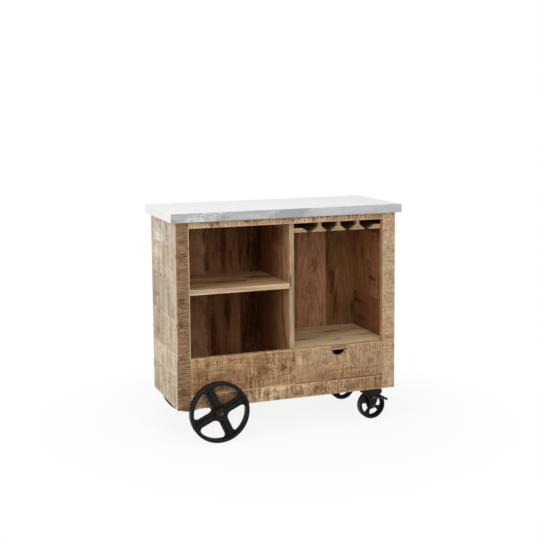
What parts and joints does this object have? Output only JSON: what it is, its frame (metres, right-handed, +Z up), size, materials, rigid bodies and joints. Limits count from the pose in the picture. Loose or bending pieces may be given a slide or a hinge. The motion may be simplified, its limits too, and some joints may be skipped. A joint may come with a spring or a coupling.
{
  "type": "cheese trolley",
  "caption": "Wooden serving trolley with open bays, stem-glass rack, drawer and metal-clad top on large spoked wheels at one end and braked swivel casters at the other.",
  "frame": {"origin": "on the floor under the middle of the trolley", "axes": "+X to the right seen from the front, +Y to the back, +Z up; the front with the bays and the drawer faces -Y"},
  "size_m": [1, 0.519, 0.929],
  "materials": {
    "front_wood": "rough-sawn mango wood, waxed",
    "front_wood_dark": "rough-sawn mango wood, darker board",
    "end_wood": "bleached rough-sawn mango wood",
    "inner_wood": "dark stained vertical boards",
    "shelf_wood": "planed mango wood",
    "rail_wood": "planed mango wood",
    "drawer_box_wood": "planed wood",
    "worktop_core_wood": "board",
    "sheet_metal": "zinc sheet, dull, pale",
    "cast_iron": "black cast iron",
    "steel": "zinc-plated steel"
  },
  "bodies": {
    "cabinet": {"axle_bracket_front": "cast_iron", "axle_bracket_rear": "cast_iron", "axle_nuts_and_washers": "steel", "back_board_1": "inner_wood", "back_board_2": "inner_wood", "back_board_3": "inner_wood", "back_board_4": "inner_wood", "back_board_5": "inner_wood", "back_board_6": "inner_wood", "back_board_7": "inner_wood", "bottom_panel": "shelf_wood", "caster_plate_front": "cast_iron", "caster_plate_rear": "cast_iron", "divider_left_board": "inner_wood", "divider_right_board": "inner_wood", "drawer_runner_left": "drawer_box_wood", "drawer_runner_right": "drawer_box_wood", "front_bottom_rail": "front_wood", "front_fixed_board": "front_wood", "front_stile_left": "front_wood_dark", "front_stile_right": "front_wood", "front_top_rail": "front_wood", "glass_rail_1": "rail_wood", "glass_rail_2": "rail_wood", "glass_rail_3": "rail_wood", "glass_rail_left_block": "rail_wood", "glass_rail_right_block": "rail_wood", "left_end_plank_1": "end_wood", "left_end_plank_2": "end_wood", "left_end_plank_3": "end_wood", "left_end_plank_4": "end_wood", "left_end_plank_5": "end_wood", "left_end_plank_6": "end_wood", "left_shelf": "shelf_wood", "right_end_plank_1": "end_wood", "right_end_plank_2": "end_wood", "right_end_plank_3": "end_wood", "right_end_plank_4": "end_wood", "right_end_plank_5": "end_wood", "right_end_plank_6": "end_wood", "right_floor_board": "shelf_wood", "underside_screws": "steel", "wheel_axle": "steel", "worktop_board": "worktop_core_wood", "worktop_cover": "sheet_metal"},
    "drawer": {"drawer_front": "front_wood", "drawer_side_left": "drawer_box_wood", "drawer_side_right": "drawer_box_wood", "drawer_back": "drawer_box_wood", "drawer_bottom": "drawer_box_wood"},
    "large_wheel_front": {"large_wheel_front": "cast_iron"},
    "large_wheel_rear": {"large_wheel_rear": "cast_iron"},
    "caster_fork_front": {"caster_fork_front": "cast_iron", "caster_bolt_front": "steel"},
    "caster_wheel_front": {"caster_wheel_front": "cast_iron"},
    "brake_lever_front": {"brake_lever_front": "steel"},
    "caster_fork_rear": {"caster_fork_rear": "cast_iron", "caster_bolt_rear": "steel"},
    "caster_wheel_rear": {"caster_wheel_rear": "cast_iron"},
    "brake_lever_rear": {"brake_lever_rear": "steel"}
  },
  "joints": [
    {"name": "drawer_slide", "type": "slide", "parent": "cabinet", "child": "drawer", "axis": [0, -1, 0], "range_m": [0, 0.25]},
    {"name": "large_wheel_front_spin", "type": "hinge", "parent": "cabinet", "child": "large_wheel_front", "pos_m": [-0.317, -0.2285, 0.124], "axis": [0, 1, 0], "continuous": true},
    {"name": "large_wheel_rear_spin", "type": "hinge", "parent": "cabinet", "child": "large_wheel_rear", "pos_m": [-0.317, 0.2285, 0.124], "axis": [0, 1, 0], "continuous": true},
    {"name": "caster_front_swivel", "type": "hinge", "parent": "cabinet", "child": "caster_fork_front", "pos_m": [0.378, -0.1555, 0.136], "axis": [0, 0, 1], "continuous": true},
    {"name": "caster_front_wheel_spin", "type": "hinge", "parent": "caster_fork_front", "child": "caster_wheel_front", "pos_m": [0.388, -0.1555, 0.059], "axis": [0, 1, 0], "continuous": true},
    {"name": "caster_front_brake", "type": "hinge", "parent": "caster_fork_front", "child": "brake_lever_front", "pos_m": [0.386, -0.1845, 0.097], "axis": [0, 1, 0], "range_deg": [-25, 2.6]},
    {"name": "caster_rear_swivel", "type": "hinge", "parent": "cabinet", "child": "caster_fork_rear", "pos_m": [0.378, 0.1555, 0.136], "axis": [0, 0, 1], "continuous": true},
    {"name": "caster_rear_wheel_spin", "type": "hinge", "parent": "caster_fork_rear", "child": "caster_wheel_rear", "pos_m": [0.388, 0.1555, 0.059], "axis": [0, 1, 0], "continuous": true},
    {"name": "caster_rear_brake", "type": "hinge", "parent": "caster_fork_rear", "child": "brake_lever_rear", "pos_m": [0.386, 0.1265, 0.097], "axis": [0, 1, 0], "range_deg": [-25, 2.6]}
  ]
}
